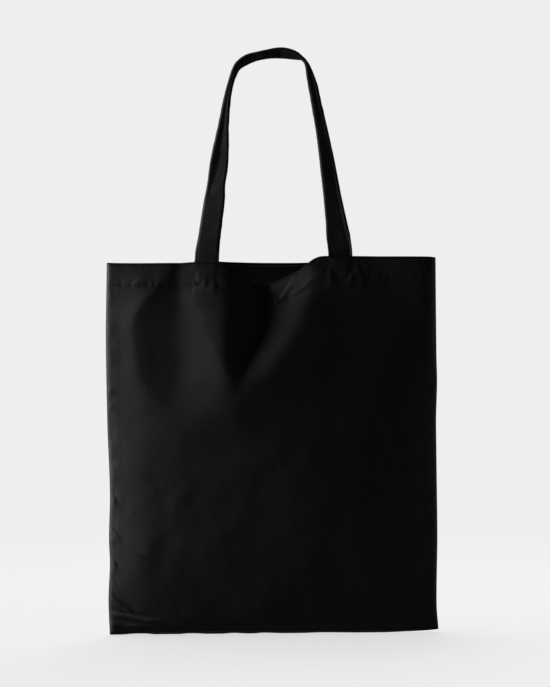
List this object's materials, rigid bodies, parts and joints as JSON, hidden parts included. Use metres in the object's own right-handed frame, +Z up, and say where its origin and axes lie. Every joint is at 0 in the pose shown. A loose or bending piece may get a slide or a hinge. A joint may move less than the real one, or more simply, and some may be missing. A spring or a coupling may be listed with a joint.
{
  "type": "tote bag",
  "caption": "Flat black cotton tote bag with an open top, a turned hem and long shoulder handles, hanging from its front handle.",
  "frame": {"origin": "underside of the front handle's crown, in the middle of the bag, where a hand or a hook holds it", "axes": "+Z up along the hanging bag, +X to the right as the front panel is seen, +Y from the front panel to the back panel"},
  "size_m": [0.38, 0.0719, 0.6739],
  "materials": {
    "body_canvas": "black cotton twill canvas, close weave, slight satin sheen",
    "hem_canvas": "black cotton canvas, turned and pressed",
    "strap_canvas": "black cotton canvas folded into a flat strap",
    "thread": "black spun polyester sewing thread"
  },
  "bodies": {
    "front_handle": {"front_strap": "strap_canvas", "front_strap_stitching": "thread"},
    "bag": {"front_panel": "body_canvas", "back_panel": "body_canvas", "front_hem": "hem_canvas", "back_hem": "hem_canvas", "left_side_seam": "hem_canvas", "right_side_seam": "hem_canvas", "bottom_seam": "hem_canvas", "front_left_strap_end": "strap_canvas", "front_right_strap_end": "strap_canvas", "back_left_strap_end": "strap_canvas", "back_right_strap_end": "strap_canvas", "front_left_box_stitch": "thread", "front_right_box_stitch": "thread", "back_left_box_stitch": "thread", "back_right_box_stitch": "thread", "front_hem_stitching": "thread", "back_hem_stitching": "thread", "left_seam_overlock": "thread", "right_seam_overlock": "thread", "bottom_seam_overlock": "thread"},
    "back_handle": {"back_strap": "strap_canvas", "back_strap_stitching": "thread"}
  },
  "joints": [
    {"name": "front_handle_fold", "type": "hinge", "parent": "front_handle", "child": "bag", "pos_m": [0, -0.0031, -0.2305], "axis": [-1, 0, 0], "range_deg": [-5, 160]},
    {"name": "back_handle_fold", "type": "hinge", "parent": "bag", "child": "back_handle", "pos_m": [0, 0.0198, -0.2305], "axis": [1, 0, 0], "range_deg": [0, 165]}
  ]
}
